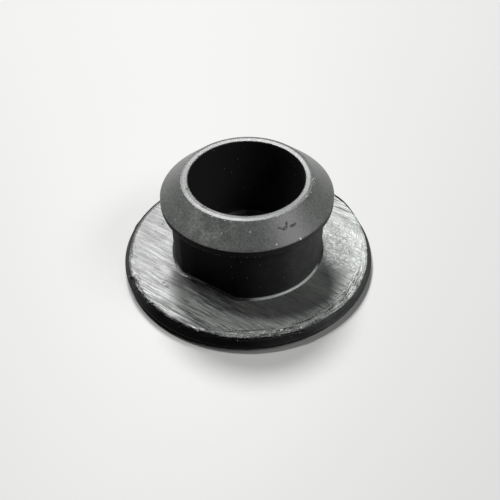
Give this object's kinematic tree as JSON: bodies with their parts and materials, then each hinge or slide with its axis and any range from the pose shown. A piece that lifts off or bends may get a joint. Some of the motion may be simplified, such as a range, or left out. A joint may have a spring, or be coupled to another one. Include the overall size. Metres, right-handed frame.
{
  "type": "drain plug",
  "caption": "Snap-in rubber drain plug with a wide flange, a short neck with one flat, and a cone-shaped barbed head with a blind bore.",
  "frame": {"origin": "centre of the flange's underside, on the plug's axis", "axes": "+Z along the axis from the flange to the barbed head, -Y out of the flat on the neck, +X to the right of the flat as it is faced"},
  "size_m": [0.0384, 0.0382, 0.0162],
  "materials": {
    "rubber": "matte moulded black rubber, rubbed to a dull sheen with fine scratches on the flange"
  },
  "bodies": {
    "root": {"drain_plug": "rubber"}
  },
  "joints": []
}
